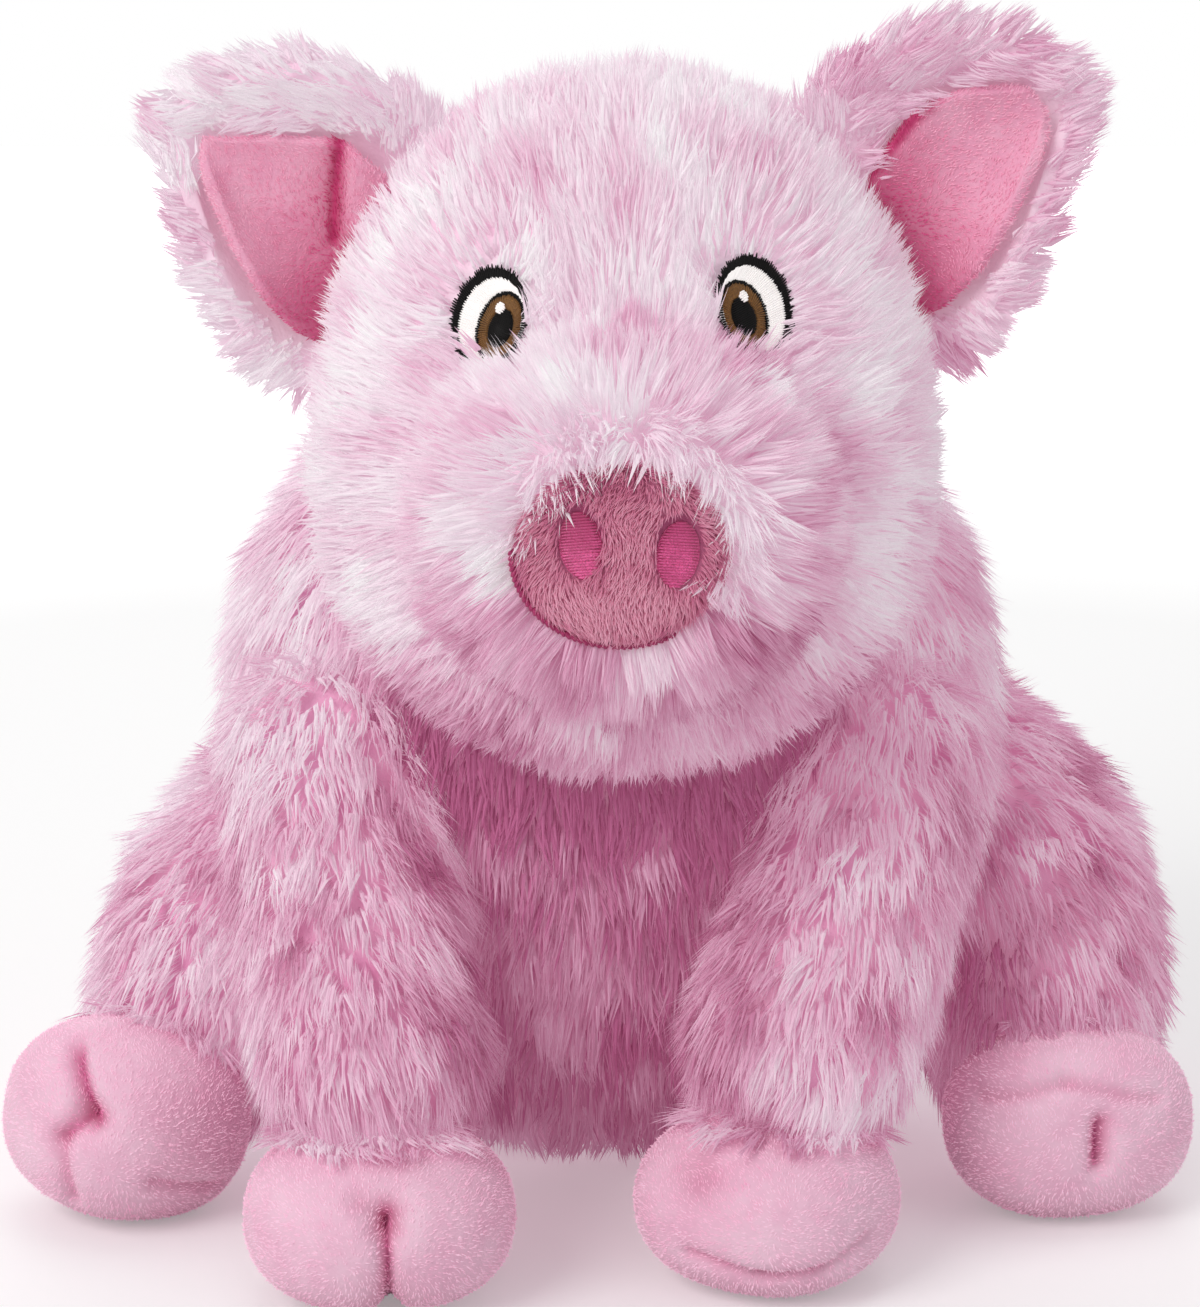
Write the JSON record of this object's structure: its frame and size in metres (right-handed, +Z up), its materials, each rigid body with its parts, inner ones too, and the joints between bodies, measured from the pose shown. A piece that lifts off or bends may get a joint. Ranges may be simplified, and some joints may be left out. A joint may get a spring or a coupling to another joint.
{
  "type": "plush pig",
  "caption": "Sitting stuffed pig with a long-pile cover, velvety feet, lined ears, a snout pad and embroidered eyes; its head, ears, legs and tail flex at their seams.",
  "frame": {"origin": "middle of the pig's outline seen from above, on the surface that it sits on", "axes": "+Z up, the pig looks towards -Y, its own left side is +X"},
  "size_m": [0.2298, 0.2056, 0.2274],
  "materials": {
    "fur": "long variegated pile, pale pink tips over deeper pink roots",
    "velvet": "short velvety pile, light pink",
    "ear_lining": "short velvety pile, strong pink",
    "snout": "short brushed pile, dusty pink",
    "magenta_thread": "satin stitch, slightly glossy",
    "black_thread": "satin stitch, slightly glossy",
    "white_thread": "satin stitch, slightly glossy",
    "brown_thread": "satin stitch, slightly glossy",
    "filling": "loose white fibre"
  },
  "bodies": {
    "trunk": {"trunk_cover": "fur", "trunk_filling": "filling"},
    "head": {"head_cover": "fur", "head_filling": "filling", "muzzle_cover": "fur", "muzzle_filling": "filling", "snout_pad": "snout", "nostril_left": "magenta_thread", "nostril_right": "magenta_thread", "mouth_line": "magenta_thread", "eye_outline_left": "black_thread", "eye_white_left": "white_thread", "eye_rim_left": "black_thread", "eye_iris_left": "brown_thread", "eye_pupil_left": "black_thread", "eye_glint_left": "white_thread", "eye_outline_right": "black_thread", "eye_white_right": "white_thread", "eye_rim_right": "black_thread", "eye_iris_right": "brown_thread", "eye_pupil_right": "black_thread", "eye_glint_right": "white_thread"},
    "ear_left": {"ear_back_left": "fur", "ear_lining_left": "ear_lining"},
    "ear_right": {"ear_back_right": "fur", "ear_lining_right": "ear_lining"},
    "front_leg_left": {"front_leg_left_cover": "fur", "front_leg_left_filling": "filling", "front_left_foot_cover": "velvet", "front_left_foot_filling": "filling"},
    "front_leg_right": {"front_leg_right_cover": "fur", "front_leg_right_filling": "filling", "front_right_foot_cover": "velvet", "front_right_foot_filling": "filling"},
    "hind_leg_left": {"hind_leg_left_cover": "fur", "hind_leg_left_filling": "filling", "hind_left_foot_cover": "velvet", "hind_left_foot_filling": "filling"},
    "hind_leg_right": {"hind_leg_right_cover": "fur", "hind_leg_right_filling": "filling", "hind_right_foot_cover": "velvet", "hind_right_foot_filling": "filling"},
    "tail": {"tail": "velvet"}
  },
  "joints": [
    {"name": "head_nod", "type": "hinge", "parent": "trunk", "child": "head", "pos_m": [0.00561, -0.0126, 0.155], "axis": [1, 0, 0], "range_deg": [-15, 0], "stiffness_Nm_per_rad": 0.05},
    {"name": "ear_left_fold", "type": "hinge", "parent": "head", "child": "ear_left", "pos_m": [0.05011, -0.0076, 0.187], "axis": [-0.4472, 0, 0.8944], "range_deg": [-30, 25], "stiffness_Nm_per_rad": 0.01},
    {"name": "ear_right_fold", "type": "hinge", "parent": "head", "child": "ear_right", "pos_m": [-0.03939, -0.0076, 0.183], "axis": [0.4472, 0, 0.8944], "range_deg": [-25, 30], "stiffness_Nm_per_rad": 0.01},
    {"name": "front_leg_left_lift", "type": "hinge", "parent": "trunk", "child": "front_leg_left", "pos_m": [0.05311, -0.01661, 0.087], "axis": [1, 0, 0], "range_deg": [-30, 0], "stiffness_Nm_per_rad": 0.05},
    {"name": "front_leg_right_lift", "type": "hinge", "parent": "trunk", "child": "front_leg_right", "pos_m": [-0.04889, -0.01661, 0.087], "axis": [1, 0, 0], "range_deg": [-30, 0], "stiffness_Nm_per_rad": 0.05},
    {"name": "hind_leg_left_splay", "type": "hinge", "parent": "trunk", "child": "hind_leg_left", "pos_m": [0.06111, 0.03639, 0.059], "axis": [0, 0, 1], "range_deg": [0, 20], "stiffness_Nm_per_rad": 0.05},
    {"name": "hind_leg_right_splay", "type": "hinge", "parent": "trunk", "child": "hind_leg_right", "pos_m": [-0.05489, 0.02739, 0.05], "axis": [0, 0, 1], "range_deg": [-20, 0], "stiffness_Nm_per_rad": 0.05},
    {"name": "tail_wag", "type": "hinge", "parent": "trunk", "child": "tail", "pos_m": [0.00311, 0.07201, 0.056], "axis": [0, 0, 1], "range_deg": [-15, 15], "stiffness_Nm_per_rad": 0.003}
  ]
}
